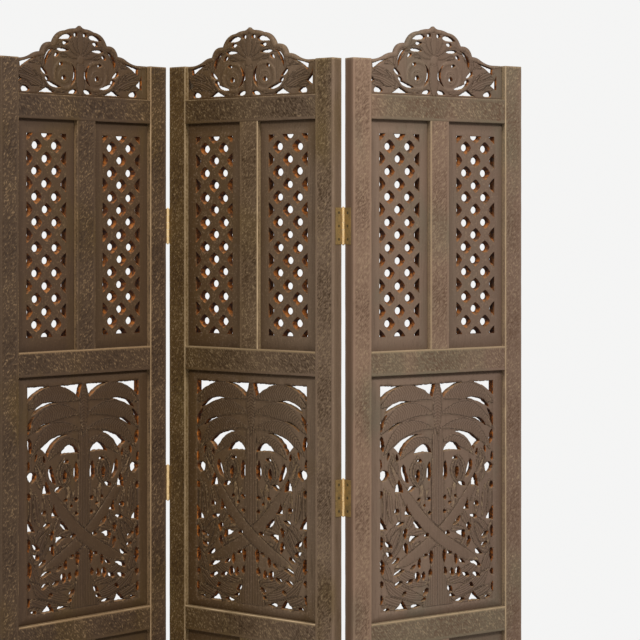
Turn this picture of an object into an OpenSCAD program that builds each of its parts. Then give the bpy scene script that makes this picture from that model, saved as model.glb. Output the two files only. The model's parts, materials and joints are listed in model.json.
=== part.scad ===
// Folding screen: three carved hardwood panels joined in a zig-zag by brass butt hinges.
// X runs along the screen, Y away from the viewer, Z up. The feet stand on Z = 0.
// Each panel is drawn on its own: x across from its left edge, y from its front face to its
// back face, z up from the floor, and is then turned and moved to its place at the seams.

/* [Panel frame] */
// Width of one panel
panel_w = 508; // [470:1:560]
// Thickness of the stiles, rails and muntins
panel_t = 32; // [30:1:40]
// Width of a stile
stile_w = 52; // [44:1:62]
// Height of each of the four rails
rail_h = 57; // [48:1:66]
// Width of a muntin, the upright between two lattice boards
muntin_w = 56; // [46:1:66]
// Height of the legs, from the floor to the bottom rail
leg_h = 41; // [30:1:70]
// Height of the lower lattice openings
low_open_h = 298; // [250:1:340]
// Height of the opening that holds the palm board
palm_open_h = 565; // [520:1:620]
// Height of the upper lattice openings
up_open_h = 532; // [480:1:590]
// Chamfer worn on the long edges of the frame
edge_wear = 1.5; // [0.5:0.5:3]

/* [Joinery] */
// Thickness of the tenons on rails and muntins
tenon_t = 10; // [8:1:12]
// Length of a rail's tenon inside the stile
tenon_l = 30; // [20:1:36]
// Length of a muntin's tenon inside a rail
stub_l = 14; // [10:1:18]
// Step from a rail's edge to the edge of its tenon
tenon_step = 12; // [10:1:15]
// Depth of the grooves that hold the boards
groove_d = 8; // [5:1:10]
// Thickness of the tongue round each board
tongue_t = 8; // [6:1:9]
// Clearance on each side of a tenon or a tongue
fit = 0.15; // [0.1:0.05:0.3]
// Space at the end of a tenon or a tongue
end_gap = 0.8; // [0.4:0.1:0.9]

/* [Boards] */
// Depth from the frame's face to the carved field of a board
recess = 7; // [5:0.5:9]
// Plain border beside a lattice field
lattice_side = 28; // [24:1:34]
// Plain border above and below a lattice field
lattice_end = 32; // [26:1:38]
// Flat lip between a field and the bevel that falls to the frame
lip = 5; // [3:1:8]
// Pitch that the lattice openings are spaced near
lattice_pitch = 58.6; // [50:0.1:70]
// Diamond opening of the lattice, from corner to corner
diamond = 32; // [26:1:36]
// Round hole in the web at the bottom of each diamond
hole_d = 18.6; // [14:0.2:20]
// Thickness of that web
web_t = 3; // [2:0.5:5]
// Plain border beside the palm field
palm_side = 31; // [26:1:36]
// Plain border above the palm field
palm_top = 23; // [16:1:30]
// Plain border below the palm field
palm_foot = 21; // [16:1:28]
// Height of the carved palm over its ground
relief = 1.5; // [0.5:0.5:2.5]

/* [Crest] */
// Height of the crest at the stiles, above the top rail
crest_end_h = 81; // [74:1:92]
// Rise of the crest's peak above the stiles
crest_rise = 85; // [70:1:100]
// Offset of the carved crest from the panel's middle
crest_shift = -9; // [-12:1:12]
// Thickness of the crest over its carving
crest_t = 13; // [12:1:18]

/* [Hinges] */
// Height of a hinge
hinge_h = 84; // [76:1:102]
// Width of a hinge leaf on the panel's edge
leaf_w = 23; // [20:0.5:25]
// Thickness of a leaf
leaf_t = 1.8; // [1.4:0.1:2]
// Half of the gap between two panels that stand in line
seam_half = 2.2; // [2.1:0.1:3]
// Distance from a panel's face out to the pin's axis
pin_out = 3.3; // [3:0.1:4]
// Outer radius of the knuckles
knuckle_r = 3.3; // [2.8:0.1:3.5]
// Radius of the hinge pin
pin_r = 1.6; // [1.2:0.1:1.9]
// Radial clearance between pin and knuckle
pin_fit = 0.05; // [0.02:0.01:0.09]
// Gap between two knuckles
knuckle_gap = 0.5; // [0.3:0.1:1]
// Radius of a screw's shank
screw_r = 1.7; // [1.4:0.1:2]
// Radius of a screw's head
screw_head_r = 3.4; // [3:0.1:4]
// Length of a screw
screw_l = 18; // [14:1:24]
// Height of the lowest hinge's middle above the floor
hinge_low_z = 250; // [180:1:330]
// Height of the middle hinge's middle above the floor
hinge_mid_z = 743; // [660:1:800]
// Height of the top hinge's middle above the floor
hinge_top_z = 1362; // [1240:1:1450]

/* [Pose] */
// Turn of the middle panel, seen from above
mid_turn = -39.4; // [-60:0.1:-20]
// Fold of the left seam away from standing in line
left_fold = 86.6; // [40:0.1:110]
// Fold of the right seam away from standing in line
right_fold = 75.9; // [40:0.1:110]

/* [Hidden] */
$fn = 32;
low_z = leg_h + rail_h;                      // bottom of the lower lattice openings
palm_z = low_z + low_open_h + rail_h;        // bottom of the palm opening
up_z = palm_z + palm_open_h + rail_h;        // bottom of the upper lattice openings
top_z = up_z + up_open_h;                    // bottom of the top rail
crest_z = top_z + rail_h;                    // foot of the crest
stile_h = crest_z + crest_end_h;
inner_w = panel_w - 2 * stile_w;
lattice_w = (inner_w - muntin_w) / 2;
board_t = panel_t - 2 * recess;
mid_y = panel_t / 2;
hinge_zs = [hinge_low_z, hinge_mid_z, hinge_top_z];
screw_step = hinge_h * 0.36;
leaf_in = pin_out + leaf_w;                  // inner edge of a leaf, from the pin's axis

// Where the panels stand. The middle panel turns about its own front left corner.
function turn(a, p) = [p.x * cos(a) - p.y * sin(a), p.x * sin(a) + p.y * cos(a)];
left_turn = mid_turn + left_fold;
right_turn = mid_turn + right_fold;
left_pin = turn(mid_turn, [-seam_half, -pin_out]);
right_pin = turn(mid_turn, [panel_w + seam_half, panel_t + pin_out]);
left_at = left_pin - turn(left_turn, [panel_w + seam_half, -pin_out]);
right_at = right_pin - turn(right_turn, [-seam_half, panel_t + pin_out]);
corners = [for (x = [0, panel_w]) for (y = [0, panel_t]) for (k = [0, 1])
    [abs(x - k * edge_wear), abs(y - (1 - k) * edge_wear)]];
plan = concat(
    [for (c = corners) turn(mid_turn, c)],
    [for (c = corners) left_at + turn(left_turn, c)],
    [for (c = corners) right_at + turn(right_turn, c)]);
xs = [for (p = plan) p.x];
ys = [for (p = plan) p.y];
centre = [(min(xs) + max(xs)) / 2, (min(ys) + max(ys)) / 2];

module left_panel() translate(left_at - centre) rotate(left_turn) children();
module middle_panel() translate(-centre) rotate(mid_turn) children();
module right_panel() translate(right_at - centre) rotate(right_turn) children();

// Stands a drawing up: its x stays, its y becomes z, and it fills y from y0 to y0 + t.
module upright(t, y0) translate([0, y0 + t, 0]) rotate([90, 0, 0]) linear_extrude(t) children();

// A bar's section w across and panel_t deep with worn edges.
module worn_section(w) {
    e = edge_wear;
    polygon([[e, 0], [w - e, 0], [w, e], [w, panel_t - e], [w - e, panel_t], [e, panel_t],
        [0, panel_t - e], [0, e]]);
}

// A point on the curve from a to b that bows out by h on the left of its way.
function bowed(a, b, h, t) = let (d = b - a, n = [-d.y, d.x] / norm(d))
    a + d * t + n * h * 4 * t * (1 - t);
function steps(a, b) = max(3, min(6, round(norm(b - a) / 16)));
function arc_points(a, b, h, n = 0) = let (k = n > 0 ? n : steps(a, b))
    [for (i = [0 : k - 1]) bowed(a, b, h, i / k)];

// A knife-cut slit from a to b, w wide in the middle and pointed at both ends.
module slit(a, b, w, h = 0) polygon(concat(arc_points(a, b, h + w / 2), arc_points(b, a, w / 2 - h)));

// A three-cornered opening whose sides bow by ha, hb and hc.
module gore(a, b, c, ha = 0, hb = 0, hc = 0)
    polygon(concat(arc_points(a, b, ha), arc_points(b, c, hb), arc_points(c, a, hc)));

// Both halves of something drawn for the right half.
module both() {
    children();
    mirror([1, 0, 0]) children();
}

// A board blank for an opening w by h: a flat field inside a border that bevels down to the
// tongue. side, top and foot are the widths of the plain border.
module blank(w, h, side, top, foot) {
    out = groove_d - end_gap;
    f = recess;
    g = (panel_t - tongue_t) / 2;
    s = side - lip;
    t = top - lip;
    b = foot - lip;
    intersection() {
        linear_extrude(3 * h, center = true)
            polygon([[-out, g], [0, g], [s, f], [w - s, f], [w, g], [w + out, g], [w + out, panel_t - g],
                [w, panel_t - g], [w - s, panel_t - f], [s, panel_t - f], [0, panel_t - g],
                [-out, panel_t - g]]);
        translate([-w, 0, 0]) rotate([90, 0, 90]) linear_extrude(3 * w)
            polygon([[g, -out], [g, 0], [f, b], [f, h - t], [g, h], [g, h + out], [panel_t - g, h + out],
                [panel_t - g, h], [panel_t - f, h - t], [panel_t - f, b], [panel_t - g, 0],
                [panel_t - g, -out]]);
    }
}

// The slot for a tongue on a straight edge of length l, open on the side where x is below 0.
module groove(l) translate([-1, -tongue_t / 2 - fit, 0]) cube([groove_d + 1, tongue_t + 2 * fit, l]);

// A hole for a tenon of length l and height h.
module mortise(l, h) translate([-1, -tenon_t / 2 - fit, -fit])
    cube([l + end_gap + 1, tenon_t + 2 * fit, h + 2 * fit]);

// Where a hinge's screws stand across the edge of a panel
function screw_y(pin_side) = pin_side > 0 ? leaf_w * 0.52 : panel_t - leaf_w * 0.52;

// A stile with its inner edge at x = 0 and its outer edge at x = -stile_w.
// pin_side is 1 where hinges are screwed to it with the pin in front, -1 with the pin behind.
module stile(pin_side = 0) {
    difference() {
        translate([-stile_w, 0, 0]) linear_extrude(stile_h) worn_section(stile_w);
        translate([0, mid_y, 0]) mirror([1, 0, 0]) {
            translate([0, 0, low_z - groove_d]) groove(low_open_h + 2 * groove_d);
            translate([0, 0, palm_z - groove_d]) groove(palm_open_h + 2 * groove_d);
            translate([0, 0, up_z - groove_d]) groove(up_open_h + 2 * groove_d);
            translate([0, 0, crest_z]) groove(crest_end_h - 12);
            for (z = [leg_h, palm_z - rail_h, up_z - rail_h, top_z])
                translate([0, 0, z + tenon_step]) mortise(tenon_l, rail_h - 2 * tenon_step);
        }
        if (pin_side != 0)
            for (z = hinge_zs)
                for (s = [-1 : 1])
                    translate([-stile_w - 1, screw_y(pin_side), z + s * screw_step])
                        rotate([0, 90, 0]) cylinder(h = screw_l - leaf_t + 1.3, r = screw_r + 0.05);
    }
}

// A rail between the stiles, with a groove below, above or both, and mortises for a muntin.
module rail(above, below, muntin_above, muntin_below) {
    th = rail_h - 2 * tenon_step;
    difference() {
        union() {
            translate([0, 0, rail_h]) rotate([0, 90, 0]) linear_extrude(inner_w) worn_section(rail_h);
            translate([-tenon_l, mid_y - tenon_t / 2, tenon_step]) cube([inner_w + 2 * tenon_l, tenon_t, th]);
        }
        if (above) translate([0, mid_y, rail_h]) rotate([0, 90, 0]) groove(inner_w);
        if (below) translate([0, mid_y, 0]) mirror([0, 0, 1]) rotate([0, 90, 0]) groove(inner_w);
        for (m = [if (muntin_above) rail_h, if (muntin_below) 0])
            translate([inner_w / 2 - muntin_w / 2 + tenon_step - fit, mid_y - tenon_t / 2 - fit,
                m > 0 ? m - stub_l - end_gap : -1])
                cube([muntin_w - 2 * tenon_step + 2 * fit, tenon_t + 2 * fit, stub_l + end_gap + 1]);
    }
}

// A muntin of height h between two rails, grooved for the boards on both sides.
module muntin(h) {
    difference() {
        union() {
            linear_extrude(h) worn_section(muntin_w);
            translate([tenon_step, mid_y - tenon_t / 2, -stub_l])
                cube([muntin_w - 2 * tenon_step, tenon_t, h + 2 * stub_l]);
        }
        translate([0, mid_y, -1]) groove(h + 2);
        translate([muntin_w, mid_y, -1]) mirror([1, 0, 0]) groove(h + 2);
    }
}

// A lattice board for an opening h high. Openings stand at the middle and at the
// corners of each cell, so they form a diamond lattice. Each is a diamond cut from both faces
// down to a thin web with a round hole.
module lattice(h) {
    fw = lattice_w - 2 * lattice_side;
    fh = h - 2 * lattice_end;
    nx = max(1, round(fw / lattice_pitch));
    nz = max(1, round(fh / lattice_pitch));
    px = fw / nx;
    pz = fh / nz;
    spots = concat(
        [for (i = [0 : nx - 1]) for (j = [0 : nz - 1]) [(i + 0.5) * px, (j + 0.5) * pz]],
        [for (i = [0 : nx]) for (j = [0 : nz]) [i * px, j * pz]]);
    cut_d = (board_t - web_t) / 2;
    difference() {
        blank(lattice_w, h, lattice_side, lattice_end, lattice_end);
        translate([lattice_side, 0, lattice_end]) {
            for (y = [recess - 1, panel_t - recess - cut_d])
                upright(cut_d + 1, y) offset(delta = 0) intersection() {
                    square([fw, fh]);
                    for (s = spots) translate(s) circle(d = diamond, $fn = 4);
                }
            for (s = spots) intersection() {
                translate([s.x, mid_y + web_t, s.y]) rotate([90, 0, 0]) cylinder(h = 2 * web_t, d = hole_d);
                cube([fw, panel_t, fh]);
            }
        }
    }
}

// The palm carving is drawn about the trunk, downwards from the top of its field, in millimetres
// of a field draw_w by draw_h, and is stretched to the field that the opening leaves.
draw_w = 342;
draw_h = 521;

// Fronds, spear leaf, trunk, crossing stems, flowers and leaves, proud of the ground.
module palm_shapes() {
    slit([0, 6], [0, -130], 34);
    both() {
        slit([4, -48], [176, -58], 36, 32);
        slit([4, -86], [176, -114], 36, 34);
        slit([4, -118], [152, -158], 24, 35);
        slit([4, -140], [114, -174], 26, 27);
        polygon([[-1, -100], [13, -110], [18, -200], [16, -430], [25, -475], [42, -521], [-1, -521]]);
        slit([88, -236], [-118, -446], 34, -10);
        translate([62, -203]) circle(r = 27, $fn = 20);
        translate([128, -178]) circle(r = 20, $fn = 20);
        slit([128, -196], [70, -300], 14, 4);
        slit([98, -318], [154, -412], 48, 4);
        slit([28, -500], [164, -448], 34, 8);
        slit([40, -512], [168, -506], 22, 6);
        slit([150, -300], [132, -212], 16, 4);
    }
}

// Openings between the palm's shapes, cut right through. Each row of a list is a slit: from,
// to, width and bow.
frond_cuts = [
    [[76, -48], [160, -72], 6, 9], [[100, -90], [152, -114], 4, 5],
    [[166, -80], [167, -117], 9, 0], [[166, -124], [167, -165], 9, 0]];
flower_cuts = [
    [[22, -181], [22, -228], 11, 0], [[103, -183], [85, -227], 7, 4], [[46, -181], [63, -184], 7, 1],
    [[57, -201], [63, -232], 12, 0], [[122, -160], [116, -179], 4, 0], [[108, -225], [117, -252], 12, 0],
    [[67, -237], [87, -249], 7, 2], [[165, -239], [165, -258], 11, 0]];
stem_cuts = [
    [[18, -257], [27, -286], 9, 0], [[47, -262], [69, -278], 7, -2], [[32, -297], [48, -286], 6, 1],
    [[16, -306], [35, -311], 9, 0], [[90, -277], [85, -308], 13, 0], [[105, -281], [127, -306], 9, 0],
    [[163, -304], [163, -338], 14, 0], [[99, -318], [122, -324], 7, 0], [[72, -315], [40, -346], 7, 2],
    [[23, -353], [37, -359], 7, 0], [[48, -361], [81, -369], 21, 2]];
leaf_cuts = [
    [[92, -339], [98, -364], 6, 2], [[98, -372], [89, -397], 8, 2], [[135, -375], [155, -359], 7, 0],
    [[132, -395], [151, -387], 7, 0], [[167, -342], [167, -379], 9, 0], [[165, -397], [165, -440], 10, 0],
    [[116, -401], [147, -419], 6, 2], [[20, -390], [21, -424], 8, 0], [[22, -430], [25, -451], 8, 0],
    [[31, -396], [49, -409], 6, 1], [[58, -408], [56, -429], 6, 1]];
foot_cuts = [
    [[39, -439], [49, -460], 8, 0], [[57, -439], [68, -461], 9, 0], [[100, -430], [132, -447], 8, 1],
    [[100, -456], [130, -468], 7, 1], [[75, -456], [96, -464], 6, 0], [[97, -479], [108, -490], 6, 0],
    [[31, -480], [47, -494], 6, 0], [[165, -445], [165, -462], 9, 0], [[165, -472], [166, -511], 8, 0],
    [[144, -517], [161, -515], 6, 0], [[54, -516], [90, -515], 8, 0], [[33, -502], [55, -508], 6, 0]];

module palm_cuts() both() {
    gore([171, 0], [171, -37], [95, -1], 0, -7, 0);
    gore([80, -1], [15, -30], [9, 0], -6, 0, 0);
    gore([44, -116], [130, -144], [110, -166], 11, -2, -13);
    gore([18, -162], [40, -145], [61, -162], 2, 2, -3);
    gore([171, -199], [171, -227], [135, -216], 0, 2, 4);
    gore([96, -520], [106, -502], [129, -520], 0, 0, 0);
    for (list = [frond_cuts, flower_cuts, stem_cuts, leaf_cuts, foot_cuts])
        for (c = list) slit(c[0], c[1], c[2], c[3]);
}

module palm_board() {
    fw = inner_w - 2 * palm_side;
    fh = palm_open_h - palm_top - palm_foot;
    difference() {
        union() {
            difference() {
                blank(inner_w, palm_open_h, palm_side, palm_top, palm_foot);
                for (y = [recess - 1, panel_t - recess - relief])
                    translate([palm_side, y, palm_foot]) cube([fw, relief + 1, fh]);
            }
            translate([palm_side + fw / 2, 0, palm_foot + fh]) upright(board_t, recess)
                offset(delta = 0) intersection() {
                    translate([-fw / 2, -fh]) square([fw, fh]);
                    scale([fw / draw_w, fh / draw_h]) palm_shapes();
                }
        }
        translate([palm_side + fw / 2, 0, palm_foot + fh]) upright(board_t + 2, recess - 1)
            offset(delta = 0) scale([fw / draw_w, fh / draw_h]) palm_cuts();
    }
}

// The scalloped top edge of the left half, drawn about the crest's middle
module crest_outline() {
    e = crest_end_h;
    k = crest_rise / 85;
    xl = inner_w / 2 + crest_shift;
    xr = inner_w / 2 - crest_shift;
    half = concat(
        arc_points([-180, e], [-145, e + 10 * k], -2, 4),
        arc_points([-145, e + 10 * k], [-118, e + 18 * k], 2, 4),
        arc_points([-118, e + 18 * k], [-83, e + 41 * k], 9),
        arc_points([-83, e + 41 * k], [-42, e + 71 * k], 8),
        arc_points([-42, e + 71 * k], [-14, e + 77 * k], 1.5, 3),
        arc_points([-14, e + 77 * k], [0, e + crest_rise], -1.5, 4));
    polygon(concat([[-xl, 0], [-xl, e]], half, [[0, e + crest_rise]],
        [for (i = [len(half) - 1 : -1 : 0]) [-half[i].x, half[i].y]], [[xr, e], [xr, 0]]));
}

// Scrolls, shell and leaves, proud of the crest's ground
module crest_shapes() {
    translate([0, 96]) for (a = [-75 : 25 : 75]) rotate(a) translate([0, 6]) slit([0, -12], [0, 50], 17);
    slit([0, 0], [0, 74], 26);
    both() {
        translate([48, 48]) difference() {
            circle(r = 37, $fn = 28);
            circle(r = 27, $fn = 28);
        }
        translate([50, 45]) circle(r = 15, $fn = 20);
        slit([46, 10], [118, 60], 13, -12);
        slit([84, 96], [112, 60], 22, 14);
        slit([112, 22], [190, 46], 38, 6);
        slit([118, 70], [184, 72], 14, 8);
        slit([88, 10], [140, 22], 12, 4);
    }
}

crest_cuts = [
    [[150, 9], [177, 11], 12, 0],
    [[80, 6], [126, 8], 12, 4], [[58, 17], [113, 38], 7, -4], [[11, 12], [37, 6], 9, 0],
    [[42, 41], [61, 43], 15, 0], [[33, 22], [30, 78], 8, 15], [[51, 72], [68, 74], 8, 0],
    [[37, 106], [74, 107], 7, 0], [[26, 138], [62, 131], 9, 2], [[35, 124], [54, 122], 7, 0],
    [[8, 144], [21, 140], 8, 0], [[78, 108], [103, 69], 7, 9], [[59, 97], [77, 83], 7, 0],
    [[95, 50], [120, 63], 8, -2]];

module crest() {
    k = (crest_end_h + crest_rise) / 166;
    x0 = inner_w / 2 + crest_shift;
    y0 = mid_y - crest_t / 2;
    out = groove_d - end_gap;
    difference() {
        union() {
            translate([x0, 0, 0]) upright(crest_t - 2 * relief, y0 + relief)
                offset(delta = 0) crest_outline();
            translate([x0, 0, 0]) upright(crest_t, y0) offset(delta = 0) {
                intersection() {
                    crest_outline();
                    scale([1, k]) crest_shapes();
                }
                difference() {
                    crest_outline();
                    offset(delta = -9) crest_outline();
                }
            }
            translate([-out, mid_y - tongue_t / 2, 0]) cube([inner_w + 2 * out, tongue_t, crest_end_h - 14]);
            translate([end_gap, mid_y - tongue_t / 2, -out]) cube([inner_w - 2 * end_gap, tongue_t, out + 1]);
        }
        translate([x0, 0, 0]) upright(crest_t + 2, y0 - 1) offset(delta = 0) scale([1, k]) both() {
            gore([118, 87], [181, 72], [180, 59], 1, 0, -4);
            gore([194, 66], [194, 22], [177, 35], 0, 0, -4);
            for (c = crest_cuts) slit(c[0], c[1], c[2], c[3]);
        }
    }
}

// One leaf about its pin: the plate lies on the panel's edge at x = seam_half, and the panel's
// face is at y = pin_out. own lists the leaf's knuckles out of five.
module leaf(own) {
    kh = (hinge_h - 4 * knuckle_gap) / 5;
    in_y = knuckle_r + 0.4;
    difference() {
        union() {
            translate([seam_half - leaf_t, in_y, -hinge_h / 2]) cube([leaf_t, leaf_in - in_y, hinge_h]);
            for (i = own) translate([0, 0, i * (kh + knuckle_gap) - hinge_h / 2]) {
                cylinder(h = kh, r = knuckle_r);
                translate([seam_half - leaf_t, 0, 0]) cube([leaf_t, in_y + 1, kh]);
            }
        }
        cylinder(h = hinge_h + 2, r = pin_r + pin_fit, center = true);
        for (s = [-1 : 1]) at_screw(s) {
            translate([0, 0, -1]) cylinder(h = leaf_t + 2, r = screw_r + 0.05);
            cylinder(h = leaf_t, r1 = screw_head_r + 0.05, r2 = screw_r + 0.05);
        }
    }
}
// A place on a leaf's outer face with its z along the screw, into the stile
module at_screw(s) translate([seam_half - leaf_t, pin_out + leaf_w * 0.52, s * screw_step])
    rotate([0, 90, 0]) children();

module screws() for (s = [-1 : 1]) at_screw(s) {
    cylinder(h = screw_l, r = screw_r);
    cylinder(h = leaf_t, r1 = screw_head_r, r2 = screw_r);
}

module pin() {
    cylinder(h = hinge_h + 1, r = pin_r, center = true);
    for (s = [-1, 1]) scale([1, 1, s]) translate([0, 0, hinge_h / 2 + 0.2])
        rotate_extrude() polygon([[0, 0], [pin_r + 0.9, 0], [pin_r + 0.9, 0.8], [pin_r, 1.8], [0, 2.2]]);
}

// The hinges' place on a panel: on its left edge with the pin in front, and so on.
brass = [0.8, 0.64, 0.3];
module left_front() color(brass) for (z = hinge_zs) translate([-seam_half, -pin_out, z]) children();
module left_back() color(brass) for (z = hinge_zs) translate([-seam_half, panel_t + pin_out, z])
    mirror([0, 1, 0]) children();
module right_front() color(brass) for (z = hinge_zs) translate([panel_w + seam_half, -pin_out, z])
    mirror([1, 0, 0]) children();
module right_back() color(brass) for (z = hinge_zs)
    translate([panel_w + seam_half, panel_t + pin_out, z]) rotate(180) children();

// The pieces in their places on a panel
wood = [0.36, 0.26, 0.18];
light = [0.45, 0.33, 0.23];
module stile_l(p = 0) color(wood) translate([stile_w, 0, 0]) stile(p);
module stile_r(p = 0) color(wood) translate([panel_w - stile_w, 0, 0]) mirror([1, 0, 0]) stile(p);
module rail_bottom() color(wood) translate([stile_w, 0, leg_h]) rail(true, false, true, false);
module rail_low() color(wood) translate([stile_w, 0, palm_z - rail_h]) rail(true, true, false, true);
module rail_mid() color(wood) translate([stile_w, 0, up_z - rail_h]) rail(true, true, true, false);
module rail_top() color(wood) translate([stile_w, 0, top_z]) rail(true, true, false, true);
module muntin_low() color(wood) translate([stile_w + lattice_w, 0, low_z]) muntin(low_open_h);
module muntin_up() color(wood) translate([stile_w + lattice_w, 0, up_z]) muntin(up_open_h);
module lattice_low_l() color(light) translate([stile_w, 0, low_z]) lattice(low_open_h);
module lattice_low_r() color(light) translate([stile_w + lattice_w + muntin_w, 0, low_z])
    lattice(low_open_h);
module lattice_up_l() color(light) translate([stile_w, 0, up_z]) lattice(up_open_h);
module lattice_up_r() color(light) translate([stile_w + lattice_w + muntin_w, 0, up_z])
    lattice(up_open_h);
module palm() color(light) translate([stile_w, 0, palm_z]) palm_board();
module crest_top() color(light) translate([stile_w, 0, crest_z]) crest();

left_panel() stile_l();  // left_stile_l
left_panel() stile_r(1);  // left_stile_r
left_panel() rail_bottom();  // left_rail_bottom
left_panel() rail_low();  // left_rail_low
left_panel() rail_mid();  // left_rail_mid
left_panel() rail_top();  // left_rail_top
left_panel() muntin_low();  // left_muntin_low
left_panel() muntin_up();  // left_muntin_up
left_panel() lattice_low_l();  // left_lattice_low_l
left_panel() lattice_low_r();  // left_lattice_low_r
left_panel() lattice_up_l();  // left_lattice_up_l
left_panel() lattice_up_r();  // left_lattice_up_r
left_panel() palm();  // left_palm
left_panel() crest_top();  // left_crest
middle_panel() stile_l(1);  // middle_stile_l
middle_panel() stile_r(-1);  // middle_stile_r
middle_panel() rail_bottom();  // middle_rail_bottom
middle_panel() rail_low();  // middle_rail_low
middle_panel() rail_mid();  // middle_rail_mid
middle_panel() rail_top();  // middle_rail_top
middle_panel() muntin_low();  // middle_muntin_low
middle_panel() muntin_up();  // middle_muntin_up
middle_panel() lattice_low_l();  // middle_lattice_low_l
middle_panel() lattice_low_r();  // middle_lattice_low_r
middle_panel() lattice_up_l();  // middle_lattice_up_l
middle_panel() lattice_up_r();  // middle_lattice_up_r
middle_panel() palm();  // middle_palm
middle_panel() crest_top();  // middle_crest
right_panel() stile_l(-1);  // right_stile_l
right_panel() stile_r();  // right_stile_r
right_panel() rail_bottom();  // right_rail_bottom
right_panel() rail_low();  // right_rail_low
right_panel() rail_mid();  // right_rail_mid
right_panel() rail_top();  // right_rail_top
right_panel() muntin_low();  // right_muntin_low
right_panel() muntin_up();  // right_muntin_up
right_panel() lattice_low_l();  // right_lattice_low_l
right_panel() lattice_low_r();  // right_lattice_low_r
right_panel() lattice_up_l();  // right_lattice_up_l
right_panel() lattice_up_r();  // right_lattice_up_r
right_panel() palm();  // right_palm
right_panel() crest_top();  // right_crest
middle_panel() left_front() pin();  // left_seam_pins
middle_panel() left_front() leaf([0, 2, 4]);  // left_seam_leaves_middle
left_panel() right_front() leaf([1, 3]);  // left_seam_leaves_left
middle_panel() left_front() screws();  // left_seam_screws_middle
left_panel() right_front() screws();  // left_seam_screws_left
middle_panel() right_back() pin();  // right_seam_pins
middle_panel() right_back() leaf([0, 2, 4]);  // right_seam_leaves_middle
right_panel() left_back() leaf([1, 3]);  // right_seam_leaves_right
middle_panel() right_back() screws();  // right_seam_screws_middle
right_panel() left_back() screws();  // right_seam_screws_right
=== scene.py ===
# A folding screen of three carved and pierced wooden panels, hinged in a zig-zag with brass butts.
# Each panel is drawn on its own in millimetres: x across from its left edge, y from its front to its
# back, z up from the floor.

import json
import math

import bpy
import numpy as np
from mathutils import Matrix, Vector
from mathutils.geometry import tessellate_polygon


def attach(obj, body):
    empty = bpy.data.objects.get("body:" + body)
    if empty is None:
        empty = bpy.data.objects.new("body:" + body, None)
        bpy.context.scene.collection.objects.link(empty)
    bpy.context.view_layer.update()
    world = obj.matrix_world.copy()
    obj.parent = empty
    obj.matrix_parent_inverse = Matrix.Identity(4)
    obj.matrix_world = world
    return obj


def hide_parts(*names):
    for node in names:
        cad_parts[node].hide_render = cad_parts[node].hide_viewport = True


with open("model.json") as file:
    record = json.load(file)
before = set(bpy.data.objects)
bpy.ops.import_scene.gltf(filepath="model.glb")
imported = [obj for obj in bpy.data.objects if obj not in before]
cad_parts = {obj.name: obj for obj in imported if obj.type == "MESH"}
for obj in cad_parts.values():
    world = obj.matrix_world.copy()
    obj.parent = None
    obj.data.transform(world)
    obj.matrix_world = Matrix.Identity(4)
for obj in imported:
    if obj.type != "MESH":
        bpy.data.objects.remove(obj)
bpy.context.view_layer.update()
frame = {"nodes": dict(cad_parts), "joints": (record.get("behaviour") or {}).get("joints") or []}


# The camera stands level, five metres off, a little to the right of the middle. The photograph is
# cut off below the lower rail, so its horizon lies above the picture's middle.
picture_px, lens_px, horizon_px = 640, 2200, 226.45
sensor = 36
camera = bpy.data.objects.new("camera", bpy.data.cameras.new("camera"))
camera.location = (0.1277, -5.1364, 1.361)
camera.rotation_euler = (math.pi / 2, 0, 0)
camera.data.sensor_width = sensor
camera.data.lens = sensor * lens_px / picture_px
camera.data.shift_y = (horizon_px - picture_px / 2) / picture_px
bpy.context.collection.objects.link(camera)
bpy.context.scene.camera = camera
bpy.context.scene.view_settings.view_transform = "Standard"


# The studio: a pale matte floor that fades into a plain white surround, and two soft lamps hung in
# front of the screen, the stronger one on the right.
class Value:
    """One output of a node, so that shader sums read as plain Python."""

    def __init__(self, finish, socket):
        self.finish, self.socket = finish, socket

    def sum(self, operation, *terms):
        return self.finish.node("ShaderNodeMath", {"operation": operation}, dict(enumerate(terms)))

    def __add__(self, other):
        return self.sum("ADD", self, other)

    __radd__ = __add__

    def __sub__(self, other):
        return self.sum("SUBTRACT", self, other)

    def __rsub__(self, other):
        return self.sum("SUBTRACT", other, self)

    def __mul__(self, other):
        return self.sum("MULTIPLY", self, other)

    __rmul__ = __mul__

    def __pow__(self, other):
        return self.sum("POWER", self, other)


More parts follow.
